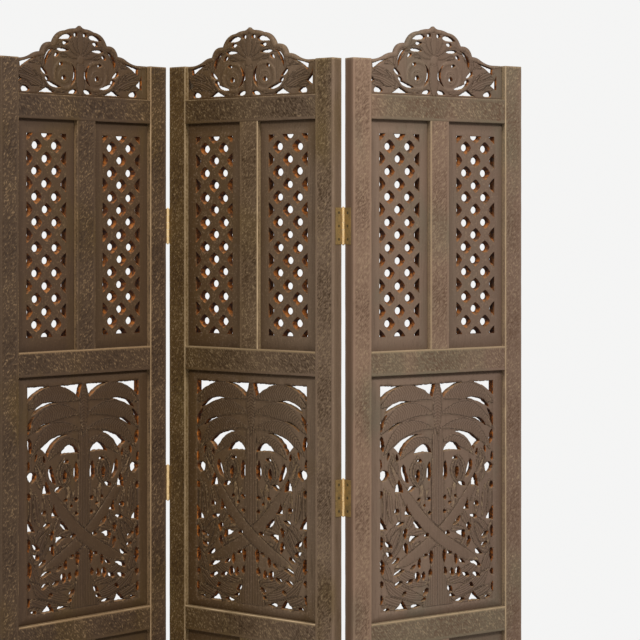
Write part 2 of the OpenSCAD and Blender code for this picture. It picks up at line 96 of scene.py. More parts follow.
class Finish:
    """A material, or the world, whose nodes are added one call at a time."""

    def __init__(self, owner):
        owner.use_nodes = True
        self.owner, self.tree = owner, owner.node_tree
        self.tree.nodes.clear()

    def node(self, kind, settings=None, sockets=None, out=0):
        made = self.tree.nodes.new(kind)
        for name, setting in (settings or {}).items():
            setattr(made, name, setting)
        for name, value in (sockets or {}).items():
            if isinstance(value, Value):
                self.tree.links.new(value.socket, made.inputs[name])
            else:
                made.inputs[name].default_value = value
        return Value(self, made.outputs[out]) if made.outputs else None

    def blend(self, share, first, second):
        """Colour first where share is 0, second where it is 1."""
        colours = {i: c if isinstance(c, Value) else (*c, 1) for i, c in ((6, first), (7, second))}
        return self.node("ShaderNodeMix", {"data_type": "RGBA"}, {0: share, **colours}, out=2)

    def ramp(self, value, low, high):
        """Runs smoothly from 0 at low to 1 at high."""
        return self.node("ShaderNodeMapRange", {"interpolation_type": "SMOOTHSTEP"},
                         {0: value, 1: low, 2: high, 3: 0.0, 4: 1.0})

    def noise(self, place, size, stretch=(1, 1, 1), detail=3.0, offset=(0, 0, 0)):
        """Soft mottling whose lumps are about size metres across, drawn out by stretch."""
        mapped = self.node("ShaderNodeMapping", None,
                           {0: place, 1: offset, 3: [1 / (size * s) for s in stretch]})
        return self.node("ShaderNodeTexNoise", None, {"Vector": mapped, "Scale": 1.0, "Detail": detail})

    def surface(self, bump, sockets):
        """The material itself. bump is the strength, depth in metres and height of its relief."""
        normal = self.node("ShaderNodeBump", None, dict(zip(("Strength", "Distance", "Height"), bump)))
        shader = self.node("ShaderNodeBsdfPrincipled", None, {"Normal": normal, **sockets})
        self.node("ShaderNodeOutputMaterial", None, {0: shader})
        return self.owner


world = Finish(bpy.data.worlds.new("studio"))
bpy.context.scene.world = world.owner
seen, mirrored, through = [world.node("ShaderNodeLightPath", out=f"Is {ray} Ray")
                           for ray in ("Camera", "Glossy", "Transmission")]
soft_light = world.node("ShaderNodeBackground", None, {0: (1, 1, 1, 1), 1: 0.32})
white_wall = world.node("ShaderNodeBackground", None, {0: (0.91, 0.91, 0.905, 1), 1: 1.0})
shown = seen.sum("MAXIMUM", seen.sum("MAXIMUM", seen, mirrored), through)
surround = world.node("ShaderNodeMixShader", None, {0: shown, 1: soft_light, 2: white_wall})
world.node("ShaderNodeOutputWorld", None, {0: surround})

far, fade_from, fade_to = 2, 1.25, 1.95
floor_mesh = bpy.data.meshes.new("floor")
floor_mesh.from_pydata([(-far, -far, 0), (far, -far, 0), (far, far, 0), (-far, far, 0)], [], [(0, 1, 2, 3)])
floor = bpy.data.objects.new("floor", floor_mesh)
bpy.context.collection.objects.link(floor)
ground = Finish(bpy.data.materials.new("floor"))
floor_place = ground.node("ShaderNodeTexCoord", out="Object")
floor_tone = ground.blend(ground.noise(floor_place, 1.5), (0.80, 0.795, 0.79), (0.86, 0.855, 0.85))
matte = ground.node("ShaderNodeBsdfPrincipled", None, {"Base Color": floor_tone, "Roughness": 0.9})
# The floor fades out into the white surround before it reaches the photograph's view.
away = ground.node("ShaderNodeVectorMath", {"operation": "LENGTH"}, {0: floor_place}, out=1)
faded = ground.node("ShaderNodeMixShader", None, {
    0: ground.ramp(away, fade_from, fade_to), 1: matte, 2: ground.node("ShaderNodeBsdfTransparent")})
ground.node("ShaderNodeOutputMaterial", None, {0: faded})
floor_mesh.materials.append(ground.owner)

# Both lamps are square and face the screen's middle.
lamp_size, lit_middle = 1.1, Vector((0, 0, 1.1))
for name, place, watts in (("right_lamp", (2.3, -2.6, 3.8), 165), ("left_lamp", (-1.9, -2.8, 3.8), 95)):
    lamp = bpy.data.objects.new(name, bpy.data.lights.new(name, "AREA"))
    lamp.data.size, lamp.data.energy = lamp_size, watts
    lamp.location = place
    lamp.rotation_mode = "QUATERNION"
    lamp.rotation_quaternion = (Vector(place) - lit_middle).to_track_quat("Z", "Y")
    bpy.context.collection.objects.link(lamp)


# Stiles: the two uprights of each panel's frame, planed hardwood with soft worn arrises, mortised
# for the rails and grooved for the boards. Their faces are punched all over with a blunt tool,
# then stained dark and rubbed, so that the arrises and the high spots have gone golden.
panel_w, thick = 508, 32
stile_w, rail_h, muntin_w = 52, 57, 56
leg_h, low_h, palm_h, up_h, crest_end_h = 41, 298, 565, 532, 81
tenon_t, tenon_l, tenon_step, tongue_t, groove_d = 10, 30, 12, 8, 8
fit, end_gap = 0.15, 0.8
groove, mortise = tongue_t / 2 + fit, tenon_t / 2 + fit
low_z = leg_h + rail_h
palm_z = low_z + low_h + rail_h
up_z = palm_z + palm_h + rail_h
top_z = up_z + up_h
crest_z = top_z + rail_h
stile_h = crest_z + crest_end_h
crest_groove_h = crest_end_h - 12
rail_zs = {"bottom": leg_h, "low": palm_z - rail_h, "mid": up_z - rail_h, "top": top_z}
inner_w = panel_w - 2 * stile_w
lattice_w = (inner_w - muntin_w) / 2
# How far the arrises are worn, and how far apart the dents and the arrises' uneven spots lie
worn, punch, wander = 1.0, 3.3, 22

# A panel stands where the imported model's joints put its pins, turned as in the part's source.
seam_half, pin_out = 2.2, 3.3
turns = {"left": -39.4 + 86.6, "middle": -39.4, "right": -39.4 + 75.9}
pins = {joint["name"]: joint["pos_m"] for joint in frame["joints"]}


def stand(panel, pin, x, y):
    """Puts a panel so that its own point x, y is at the pin of a seam."""
    to_pin = Matrix.Translation((*pins[pin][:2], 0)) @ Matrix.Rotation(math.radians(turns[panel]), 4, "Z")
    return to_pin @ Matrix.Translation((-x / 1000, -y / 1000, 0))


stands = {
    "left": stand("left", "left_fold", panel_w + seam_half, -pin_out),
    "middle": stand("middle", "left_fold", -seam_half, -pin_out),
    "right": stand("right", "right_fold", -seam_half, thick + pin_out)}


# Each point of the wood is marked with how worn it is, which on cut walls facing up is a painted highlight,
# how dark it is, from dirt and from painted shade on cut walls facing down and under the rails, whether it
# is a raw cut, and where it lies between two scored veins.
mark_names = ("wear_and_highlight", "hollow", "raw", "score")
# The pale of arrises rubbed down to bare wood, also a painted highlight along the rails' tops, and the
# brown and red of raw cuts
pale_arris_tone, cut_brown, cut_red = (0.62, 0.45, 0.27), (0.07, 0.02, 0.004), (0.44, 0.13, 0.014)
# The black that paints shade onto cut walls facing down
shade_black = (0.010, 0.003, 0.0015)


def stained_wood(name, shade, patchy, left, right, golden, rubbed_and_highlight_tone, upright=True, cut_shade=1.0):
    """Dark stained hardwood, rubbed golden on the arrises and raw red-brown where it is cut. On the cut
    walls painted shade darkens those facing down towards black, and a painted highlight lightens those
    facing up. The colour runs from a tone at the panel's left edge to one at its right, under golden
    patches, of which a high patchy leaves few."""
    f = Finish(bpy.data.materials.new(name))
    place = f.node("ShaderNodeTexCoord", out="Object")
    x = f.node("ShaderNodeSeparateXYZ", None, {0: place})
    along = (1, 1, 16) if upright else (16, 1, 1)
    streak = f.noise(place, 0.0035, along, 5.0)
    pore = f.noise(place, 0.0011, along, 2.0, (3, 1, 2))
    patch = f.noise(place, 0.13, (1, 1, 2.2), 2.0, (7, 2, 5))
    speck = f.noise(place, 0.0045, (1, 1, 1), 2.0, (1, 5, 3))
    wear_and_highlight, hollow, raw, score = [f.node("ShaderNodeAttribute", {"attribute_name": mark}, out=2)
                                for mark in mark_names]
    line = (score.sum("PINGPONG", score, 0.5) * 2) ** 1.7 * f.ramp(score, 0.01, 0.02)
    rubbed = f.ramp(wear_and_highlight + speck - 0.5, 0.3, 0.9)

    left, right, golden = [[shade * c for c in tone] for tone in (left, right, golden)]
    dark = [c * k for c, k in zip(left, (0.42, 0.36, 0.30))]
    pale = [1.4 * c + 0.01 for c in right]
    stain = f.blend(f.ramp(x, 0.0, panel_w / 1000), left, right)
    for share, tone in ((f.ramp(patch, patchy, patchy + 0.22) * 0.8, golden),
                        (f.ramp(streak, 0.5, 0.72) * 0.35, dark), (f.ramp(speck, 0.52, 0.75) * 0.45, pale),
                        (hollow * 0.7, dark), (line * 0.7, dark), (rubbed * 0.75, rubbed_and_highlight_tone),
                        (f.ramp(wear_and_highlight, 1.05, 2), pale_arris_tone)):
        stain = f.blend(share, stain, tone)
    cut_tones = [[cut_shade * c for c in tone] for tone in (cut_brown, cut_red)]
    cut = f.blend(f.ramp(f.noise(place, 0.008), 0.38, 0.66), *cut_tones)
    # On raw cuts the hollow mark paints shade in black, and the wear mark paints a highlight in the rubbed
    # tone.
    cut = f.blend(wear_and_highlight, f.blend(hollow, cut, shade_black), rubbed_and_highlight_tone)

    grain = streak * 0.5 + pore * 0.35 + speck * 0.5 - line * 2
    return f.surface((0.8, 0.0006, grain), {
        "Base Color": f.blend(raw, stain, cut), "Specular IOR Level": 0.25,
        "Roughness": 0.61 - rubbed * 0.14 + raw * 0.2 + streak * 0.1})


# The colour of each panel's frame and boards at the left and the right edge, in its golden patches,
# and where it is rubbed or carries a painted highlight.
frame_tones = {
    "left": ((0.066, 0.038, 0.019), (0.074, 0.042, 0.021), (0.072, 0.040, 0.009), (0.27, 0.17, 0.085)),
    "middle": ((0.086, 0.046, 0.010), (0.174, 0.114, 0.072), (0.112, 0.069, 0.018), (0.27, 0.185, 0.095)),
    "right": ((0.208, 0.129, 0.083), (0.148, 0.093, 0.063), (0.124, 0.101, 0.061), (0.28, 0.195, 0.11))}
board_tones = {
    "left": ((0.066, 0.036, 0.018), (0.069, 0.037, 0.015), (0.070, 0.040, 0.012), (0.27, 0.17, 0.085)),
    "middle": ((0.070, 0.035, 0.009), (0.148, 0.096, 0.058), (0.084, 0.046, 0.014), (0.29, 0.19, 0.09)),
    "right": ((0.165, 0.107, 0.071), (0.122, 0.077, 0.052), (0.112, 0.088, 0.057), (0.28, 0.195, 0.11))}
# How light the uprights and the rails are against those tones, and where their patches begin
upright_shades = {"left": (1, 0.5), "middle": (1, 0.52), "right": (1, 0.5)}
lying_shades = {"left": (1, 0.5), "middle": (0.86, 0.6), "right": (0.96, 0.3)}
cut_shades = {"left": 0.9, "middle": 1.0, "right": 0.75}
upright_wood = {p: stained_wood(p + "_upright_wood", *upright_shades[p], *frame_tones[p]) for p in stands}
lying_wood = {p: stained_wood(p + "_lying_wood", *lying_shades[p], *frame_tones[p], upright=False)
              for p in stands}
board_wood = {p: stained_wood(p + "_board_wood", 1, 0.5, *board_tones[p], cut_shade=cut_shades[p])
              for p in stands}


def fit_piece(panel, name, made, corner, wood, crease=50):
    """Stands a piece in its panel, where it takes the place of a solid. made is its points in
    millimetres, faces and marks, and its edges are sharp where they turn by more than crease."""
    points, faces, marks = made
    mesh = bpy.data.meshes.new(name)
    mesh.from_pydata(((points + corner) / 1000).tolist(), [], [f for part in faces for f in part.tolist()])
    for mark, values in zip(mark_names, marks):
        mesh.attributes.new(mark, "FLOAT", "POINT").data.foreach_set("value", values.astype(np.float32))
    mesh.shade_smooth()
    mesh.set_sharp_from_angle(angle=math.radians(crease))
    mesh.materials.append(wood[panel])
    piece = bpy.data.objects.new(f"{panel}_panel_{name}", mesh)
    bpy.context.collection.objects.link(piece)
    piece.matrix_world = stands[panel]
    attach(piece, panel + "_panel")
    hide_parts(f"{panel}_{name}")


def with_blocks(points, faces, marks, blocks):
    """Adds plain blocks, such as tenons and tongues, each from x0 to x1, y0 to y1 and z0 to z1."""
    sides = np.array([(0, 2, 3, 1), (4, 5, 7, 6), (0, 1, 5, 4), (2, 6, 7, 3), (0, 4, 6, 2), (1, 3, 7, 5)])
    for x0, x1, y0, y1, z0, z1 in blocks:
        faces.append(sides + len(points))
        corners = [(x, y, z) for z in (z0, z1) for y in (y0, y1) for x in (x0, x1)]
        points = np.concatenate([points, corners])
    return points, faces, np.pad(marks, ((0, 0), (0, 8 * len(blocks))))


def bar(width, length, seed, pockets, tenon, top=0.0, dull=(0, 0), pale_arrises=(0, 0)):
    """A punched bar stood on end, x across, y deep and z along. A pocket is (edge, half of its
    opening, from, to, depth), cut in from x = 0 or from x = width. top rounds the upper end. dull
    says how dark the sides at x = 0 and at x = width are: dirt on the stiles' outer sides, painted
    shade on the rails' undersides; a side is rubbed golden where it is 0. The last argument says
    how far the front arrises are painted pale: rubbed down to bare wood, and along the rails' tops
    a painted highlight as well."""
    draw = np.random.default_rng(seed)
    n = 2 * round((width - 2 * worn) / punch / 2)
    across = np.linspace(worn, width - worn, n + 1)
    near = 0.25 * worn
    middle = thick / 2
    deep = [worn, middle - mortise, middle - groove, middle + groove, middle + mortise, thick - worn]
    # Round the bar: front face, right side, back face and left side, each with a corner after it
    outline = ([(x, 0) for x in across] + [(width - near, near)] + [(width, y) for y in deep]
               + [(width - near, thick - near)] + [(x, thick) for x in across[::-1]]
               + [(near, thick - near)] + [(0, y) for y in deep[::-1]] + [(near, near)])
    m = len(outline)
    right, back, left, side_end = n + 2, n + 9, 2 * n + 11, 5
    stops = sorted({0.0, float(length), *[float(z) for pocket in pockets for z in pocket[2:4]]})
    heights = [0.0]
    for a, b in zip(stops, stops[1:]):
        heights += list(np.linspace(a, b, max(2, round((b - a) / punch) + 1))[1:])
    heights = np.array(heights)
    rings = len(heights)
    at = np.zeros((rings, m, 3))
    at[..., :2] = outline
    at[..., 2] = heights[:, None]
    wear_and_highlight, hollow = np.zeros((2, rings, m))

    # The punched faces: about every second point is a dent, a little out of line.
    row, column = np.meshgrid(np.arange(rings), np.arange(1, n), indexing="ij")
    margin = np.clip((np.minimum(across[1:n], width - across[1:n]) - 4) / 2, 0, 1)
    for first, way in ((0, 1), (back, -1)):
        face = slice(first + 1, first + n)
        dent = ((row + column) % 2 == 0) ^ (draw.uniform(0, 1, row.shape) < 0.3)
        deepness = np.where(dent, draw.uniform(0.6, 1.5, dent.shape), draw.uniform(0, 0.5, dent.shape))
        deepness *= margin * (0.75 + 0.25 * np.sin(heights / 37 + seed))[:, None]
        at[:, face, 1] += way * deepness
        inside = slice(1, rings - 1)
        for axis in (0, 2):
            at[inside, face, axis] += draw.uniform(-1, 1, dent.shape)[inside] * margin
        hollow[:, face] = deepness
        wear_and_highlight[:, face] = (draw.uniform(0.45, 0.75, dent.shape) - 0.8 * deepness).clip(0, 1) * margin

    # A side's darkening is dirt on the stiles' outer sides and painted shade on the rails' undersides.
    for first, darkening in zip((left, right), dull):
        wear_and_highlight[:, first + 1:first + side_end] = 0.12 if darkening else 0.8
        hollow[:, first + 1:first + side_end] = darkening

    # The worn arrises wander in and out along the bar.
    for flat, corner, side, sx, sy in ((0, m - 1, left + side_end, 1, 1), (n, n + 1, right, -1, 1),
                                       (back + n, back + n + 1, left, 1, -1),
                                       (back, back - 1, right + side_end, -1, -1)):
        knots = np.linspace(0, length, max(3, round(length / wander)))
        loss = np.interp(heights, knots, draw.uniform(0, 1, len(knots)) ** 2) * 0.35
        at[:, flat, 0] += sx * loss
        at[:, side, 1] += sy * loss
        at[:, corner, 0] += 0.6 * sx * loss
        at[:, corner, 1] += 0.6 * sy * loss
        edge = 0 if sx > 0 else 1
        rub = 0.4 + 0.5 * np.interp(heights, knots, draw.uniform(0, 1, len(knots)))
        # The arrises beside a dark side are rubbed less: dirt on the stiles, painted shade under the rails.
        wear_and_highlight[:, [flat, corner, side]] = (rub * (0.3 if dull[edge] else 0.75))[:, None]
        # Arrises painted pale are bare wood, and along the rails' tops a painted highlight as well.
        if sy > 0 and pale_arrises[edge]:
            rub = 1 + pale_arrises[edge] * np.interp(heights, knots, draw.uniform(0.4, 1, len(knots)))
            wear_and_highlight[:, [flat, corner]] = rub[:, None]
            wear_and_highlight[:, flat + sx] = np.maximum(wear_and_highlight[:, flat + sx], 0.5)
    if top:
        at[-1, :, 0] = at[-1, :, 0].clip(top, width - top)
        at[-1, :, 1] = at[-1, :, 1].clip(top, thick - top)
        at[-2, :, 2] = length - top
        wear_and_highlight[-2:] = 0.7

    row, column = np.meshgrid(np.arange(rings - 1) * m, np.arange(m), indexing="ij")
    beside = (column + 1) % m
    quads = np.stack([row + column, row + beside, row + m + beside, row + m + column], -1)
    whole = np.ones(quads.shape[:2], bool)
    at = at.reshape(-1, 3)
    points, count = [at], len(at)
    faces = [np.arange(m)[None, ::-1], (np.arange(m) + (rings - 1) * m)[None]]
    for edge, half, z0, z1, depth in pockets:
        r0, r1 = [int(np.argmin(abs(heights - z))) for z in (z0, z1)]
        step = 1 if half == mortise else 2
        first = (right if edge else left) + step
        last = first + side_end - 2 * step
        whole[r0:r1, first:last] = False
        rim = np.concatenate([r0 * m + np.arange(first, last), np.arange(r0, r1) * m + last,
                              r1 * m + np.arange(last, first, -1), np.arange(r1, r0, -1) * m + first])
        low = count + np.arange(len(rim))
        points.append(at[rim] + (-depth if edge else depth, 0, 0))
        faces += [np.stack([rim, np.roll(rim, -1), np.roll(low, -1), low], -1), low[None]]
        count += len(rim)
    faces.append(quads[whole])
    marks = np.zeros((len(mark_names), count))
    marks[:2, :len(at)] = wear_and_highlight.ravel(), hollow.ravel()
    ends = ((-tenon, 1), (length - 1, length + tenon)) if tenon else ()
    return with_blocks(np.concatenate(points), faces, marks, [
        (tenon_step, width - tenon_step, middle - tenon_t / 2, middle + tenon_t / 2, *end) for end in ends])


openings = ((low_z, low_h), (palm_z, palm_h), (up_z, up_h), (crest_z, crest_groove_h))
stile_pockets = [(groove, z, z + height, groove_d) for z, height in openings]
stile_pockets += [(mortise, z + tenon_step - fit, z + rail_h - tenon_step + fit, tenon_l + end_gap)
                  for z in rail_zs.values()]
# The outer sides are dirty, and one inner arris of each panel is rubbed down to bare wood.
outer_dirt, bare_stile = (0.3, 0.55, 0.95), ("r", "l", "r")
for i, panel in enumerate(stands):
    for j, (side, x, inner) in enumerate((("l", 0, 1), ("r", panel_w - stile_w, 0))):
        darkening, arris_paling = [0, 0], [0, 0]
        darkening[1 - inner] = outer_dirt[i]
        arris_paling[inner] = 0.5 * (side == bare_stile[i])
        stile = bar(stile_w, stile_h, 10 + 2 * i + j, [(inner, *pocket) for pocket in stile_pockets], 0,
                    worn, darkening, arris_paling)
        fit_piece(panel, "stile_" + side, stile, (x, 0, 0), upright_wood)


# Rails: the four bars between the stiles, of the same punched wood laid level, tenoned into the
# stiles and grooved above and below for the boards.
stub_l = 14
muntin_at = (lattice_w + tenon_step - fit, lattice_w + muntin_w - tenon_step + fit)
# The edge of each rail that takes a muntin: 0 is the upper one and 1 the lower one.
muntin_edge = {"bottom": 0, "low": 1, "mid": 0, "top": 1}
for i, panel in enumerate(stands):
    for j, (name, z) in enumerate(rail_zs.items()):
        pockets = []
        for edge in (0,) if name == "bottom" else (0, 1):
            if edge == muntin_edge[name]:
                pockets += [(edge, groove, 0, muntin_at[0], groove_d),
                            (edge, groove, muntin_at[1], inner_w, groove_d),
                            (edge, mortise, *muntin_at, stub_l + end_gap)]
            else:
                pockets.append((edge, groove, 0, inner_w, groove_d))
        # The low and mid rails' top arrises are painted pale, rubbed bare wood with a painted highlight
        # where light from above catches them; the rails' undersides are dulled as painted shade, and the
        # top rails are made darker.
        arris_paling = {"low": 0.9 if panel == "middle" else 0.5, "mid": 0.3}.get(name, 0)
        points, faces, marks = bar(rail_h, inner_w, 30 + 4 * i + j, pockets, tenon_l, dull=(0, 0.3),
                                   pale_arrises=(arris_paling, 0))
        if name == "top":
            marks[mark_names.index("hollow")] += 0.25
        x, y, along = points.T
        laid = np.stack([along, y, rail_h - x], -1)
        fit_piece(panel, "rail_" + name, (laid, faces, marks), (stile_w, 0, z), lying_wood)


# Muntins: the short uprights between two lattice boards, of the same punched wood, stub-tenoned
# into the rails.
bare_muntin = ((0, 0), (0, 0.8), (0.25, 0))
for i, panel in enumerate(stands):
    for j, (name, z, height) in enumerate((("low", low_z, low_h), ("up", up_z, up_h))):
        grooves = [(edge, groove, 0, height, groove_d) for edge in (0, 1)]
        muntin = bar(muntin_w, height, 50 + 2 * i + j, grooves, stub_l, pale_arrises=bare_muntin[i])
        fit_piece(panel, "muntin_" + name, muntin, (stile_w + lattice_w, 0, z), upright_wood)


# Lattice boards: thin boards with a raised flat field, a bevel that falls to the frame, and a
# tongue in the frame's grooves. Each opening is a diamond pocket chiselled in from both faces
# until the two meet in a round hole, and its walls are left raw.
recess, lip = 7, 5
lattice_side, lattice_end = 28, 32
lattice_pitch, diamond_r, hole_r = 58.6, 16, 9.3
bulge = 1.27
tongue_y = (thick - tongue_t) / 2
tongue_out = groove_d - end_gap
# How deep each ring of a pocket lies, and how far it has closed from the diamond to the hole
pocket_levels = ((0, 0), (0.6, 0.07), (4.2, 0.5), (7.6, 1), (10.4, 1), (13.8, 0.5), (17.4, 0.07), (18, 0))
# The rings of a pocket's walls whose bottom gets a painted highlight
sill_highlight_levels = (1, 2, 5, 6)


def lattice_board(height, seed):
    """A lattice board for an opening of the given height, from its lower left corner."""
    draw = np.random.default_rng(seed)
    wide, tall = lattice_w - 2 * lattice_side, height - 2 * lattice_end
    columns, rows = round(wide / lattice_pitch), round(tall / lattice_pitch)
    pitch = np.array([wide / columns, tall / rows])
    points, marks, faces, loops = [], [], [], []
    count, back = 0, len(pocket_levels) - 1
    spots = [(i + 0.5, j + 0.5) for i in range(columns) for j in range(rows)]
    spots += [(i, j) for i in range(columns + 1) for j in range(rows + 1)]
    for i, j in spots:
        # A pocket on the field's border is cut off along it.
        dx, dz = (i == 0) - (i == columns), (j == 0) - (j == rows)
        sweep = 360 / (1 + abs(dx)) / (1 + abs(dz))
        whole, corner = sweep == 360, sweep == 90
        start = 0 if whole else math.degrees(math.atan2(dz, dx)) - sweep / 2
        steps = round(sweep / 15)
        angles = np.radians(start + sweep * np.arange(steps + (not whole)) / steps)
        way = np.stack([np.cos(angles), np.sin(angles)], -1)
        k = len(angles) + corner
        # No two pockets are alike in turn, size and place.
        turn = np.radians(draw.uniform(-3, 3)) if whole else 0
        size = diamond_r * draw.uniform(0.98, 1.06) * (1 if whole else 1.12)
        hole = hole_r * draw.uniform(0.86, 0.94) * (1 if whole else 1.15)
        centre = pitch * (i, j) + (lattice_side, lattice_end) + (draw.normal(0, 0.35, 2) if whole else 0)
        off = draw.normal(0, 0.5, 2) if whole else np.zeros(2)
        flat = abs(np.cos(angles - turn)) ** bulge + abs(np.sin(angles - turn)) ** bulge
        diamond = size / flat ** (1 / bulge) * (1 + draw.normal(0, 0.012, len(angles)) * whole)
        loops.append(count + np.arange(k))
        for level, (deep, share) in enumerate(pocket_levels):
            r = diamond * (1.1 if deep > 9 else 1) * (1 - share) + hole * share
            ring = centre + way * r[:, None] + off * share
            if share == 0.5:
                ring += way * draw.normal(0, 0.45, (len(angles), 1)) * (whole or 0.5)
            if corner:
                ring = np.concatenate([ring, centre[None]])
            points.append(np.stack([ring[:, 0], np.full(k, recess + deep), ring[:, 1]], -1))
            # The raw walls are painted by the way they face: painted shade darkens them most under the
            # pocket's top, and a painted highlight in the pale rubbed tone lies along its bottom.
            lie = np.append(np.sin(angles), [0] * corner)
            sill_highlight = 0.45 * (-lie).clip(0, 1) ** 3 * draw.uniform(0.3, 1, k) * (level in sill_highlight_levels)
            wall_shade = (0.6 + 0.6 * lie).clip(0.3, 1) * (1 - 0.4 * draw.uniform(0, 1, k))
            raw = 0 < level < back
            marks.append([sill_highlight, wall_shade, np.ones(k)] if raw else [[0.3] * k, [0.2] * k, [0] * k])
            if level:
                a, b = count - k + np.arange(k), count - k + (np.arange(k) + 1) % k
                faces.append(np.stack([a, b, b + k, a + k], -1))
            count += k

    # The border: rectangles from the flat field's edge out to the tongue, with their y, wear and darkening,
    # which grows towards the frame
    edge_x, edge_z = lattice_side - lip, lattice_end - lip
    borders = [(0, 0, recess, 0.1, 0.05), (1.6, 1.6, recess + 0.25, 0.2, 0.05),
               (edge_x, edge_z, tongue_y, 0.05, 0.7),
               (edge_x + tongue_out, edge_z + tongue_out, tongue_y, 0, 1)]
    rings = []
    for face in (0, 1):
        for out_x, out_z, y, wear_and_highlight, darkening in borders:
            x0, z0 = edge_x - out_x, edge_z - out_z
            x1, z1 = lattice_w - x0, height - z0
            y = thick - y if face else y
            points.append(np.array([(x0, y, z0), (x1, y, z0), (x1, y, z1), (x0, y, z1)]))
            marks.append([[wear_and_highlight] * 4, [darkening] * 4, [0] * 4])
            rings.append(np.arange(4) + count)
            count += 4
    order = rings[:4] + rings[:3:-1]
    for outer, inner in zip(order[1:], order):
        a, b = np.arange(4), (np.arange(4) + 1) % 4
        faces.append(np.stack([outer[a], outer[b], inner[b], inner[a]], -1))

    # The flat field between the border and the pockets, on the front and on the back
    points = np.concatenate(points)
    rim = np.concatenate([rings[0], *loops])
    tris = np.array(tessellate_polygon([[(points[v, 0], points[v, 2], 0) for v in loop]
                                        for loop in [rings[0], *loops]]))
    a, b, c = [points[rim[tris[:, n]]][:, ::2] for n in range(3)]
    turned = (b - a)[:, 0] * (c - a)[:, 1] - (b - a)[:, 1] * (c - a)[:, 0] < 0
    tris[turned] = tris[turned][:, ::-1]
    back_rim = np.concatenate([rings[4]] + [loop + back * len(loop) for loop in loops])
    faces += [rim[tris], back_rim[tris[:, ::-1]]]
    return points, faces, np.vstack([np.concatenate(marks, 1), np.zeros(count)])


lattices = {f"{row}_{side}": (x, z, height)
            for row, z, height in (("low", low_z, low_h), ("up", up_z, up_h))
            for side, x in (("l", stile_w), ("r", stile_w + lattice_w + muntin_w))}
for i, panel in enumerate(stands):
    for j, (name, (x, z, height)) in enumerate(lattices.items()):
        fit_piece(panel, "lattice_" + name, lattice_board(height, 60 + 4 * i + j), (x, 0, z),
                  board_wood, 35)


# Palm boards: a palm tree, flowers and leaves in low relief, scored with a veining tool, and sawn
# out between the shapes. The plain border slopes to the frame, with a tongue in its grooves.
palm_side, palm_top, palm_foot = 31, 23, 21
relief, board_step, sliver = 1.5, 2.0, 0.02


def bowed(a, b, h, n=14):
    """Points from a to b, on a bow that stands h beside the straight line."""
    a, b = np.array(a, float), np.array(b, float)
    t = np.linspace(0, 1, n)[:-1, None]
    aside = np.array([a[1] - b[1], b[0] - a[0]]) / np.hypot(*(b - a))
    return a + (b - a) * t + aside * h * 4 * t * (1 - t)


def slit(ax, az, bx, bz, w, h=0):
    """A hand-sawn slit from a to b, w wide, with blunt ends, its middle line bowed by h."""
    a, b = np.array((ax, az), float), np.array((bx, bz), float)
    along = (b - a) / np.hypot(*(b - a))
    aside = np.array([-along[1], along[0]])
    t = np.sin(np.linspace(-math.pi / 2, math.pi / 2, 15))[:, None] * 0.5 + 0.5
    middle = a + (b - a) * t + aside * h * 4 * t * (1 - t)
    lean = 0.4 * math.sin(1.7 * a[0] + 0.9 * a[1])
    half = (w / 2 + 0.6) * (1 - abs(2 * t - 1) ** 3) * (1 + lean * (2 * t - 1))
    return np.concatenate([(middle + aside * half)[:-1], (middle - aside * half)[:0:-1]])


def gore(a, b, c, *bows):
    """A three-cornered opening with bowed sides."""
    return np.concatenate([bowed(*side) for side in zip((a, b, c), (b, c, a), bows)])


def nearest(at, outline):
    """How far points are from a closed outline, negative inside, and their nearest points on it."""
    a, b = outline, np.roll(outline, -1, 0)
    run = b - a
    rise = np.where(run[:, 1] == 0, 1e-9, run[:, 1])
    off = at[:, None] - a
    t = ((off * run).sum(-1) / (run * run).sum(-1)).clip(0, 1)
    foot = a + t[..., None] * run
    away = np.hypot(*(at[:, None] - foot).transpose(2, 0, 1))
    crossed = (a[:, 1] > at[:, None, 1]) != (b[:, 1] > at[:, None, 1])
    left = at[:, None, 0] < a[:, 0] + off[..., 1] / rise * run[:, 0]
    inside = (crossed & left).sum(1) % 2 == 1
    row, k = np.arange(len(at)), away.argmin(1)
    return np.where(inside, -1, 1) * away[row, k], foot[row, k]


def wood_left(at, cuts, edge=None, inset=0.0):
    """Distance into the wood that the cuts leave inside an edge, the nearest point of its border,
    and whether that is a cut."""
    reach, lot = 4.0, 4000
    gap, foot, is_cut = np.full(len(at), reach), at.copy(), np.zeros(len(at), bool)
    if edge is not None:
        for part in np.array_split(np.arange(len(at)), 1 + len(at) // lot):
            d, f = nearest(at[part], edge)
            way = (at[part] - f) / np.maximum(abs(d), 1e-6)[:, None] * -np.sign(d)[:, None]
            gap[part], foot[part] = np.minimum(reach, -d - inset), f + way * inset
    for cut in cuts:
        near = np.flatnonzero(((at > cut.min(0) - reach) & (at < cut.max(0) + reach)).all(1))
        d, f = nearest(at[near], cut)
        closer = d < gap[near]
        near = near[closer]
        gap[near], foot[near], is_cut[near] = d[closer], f[closer], True
    return gap, foot, is_cut


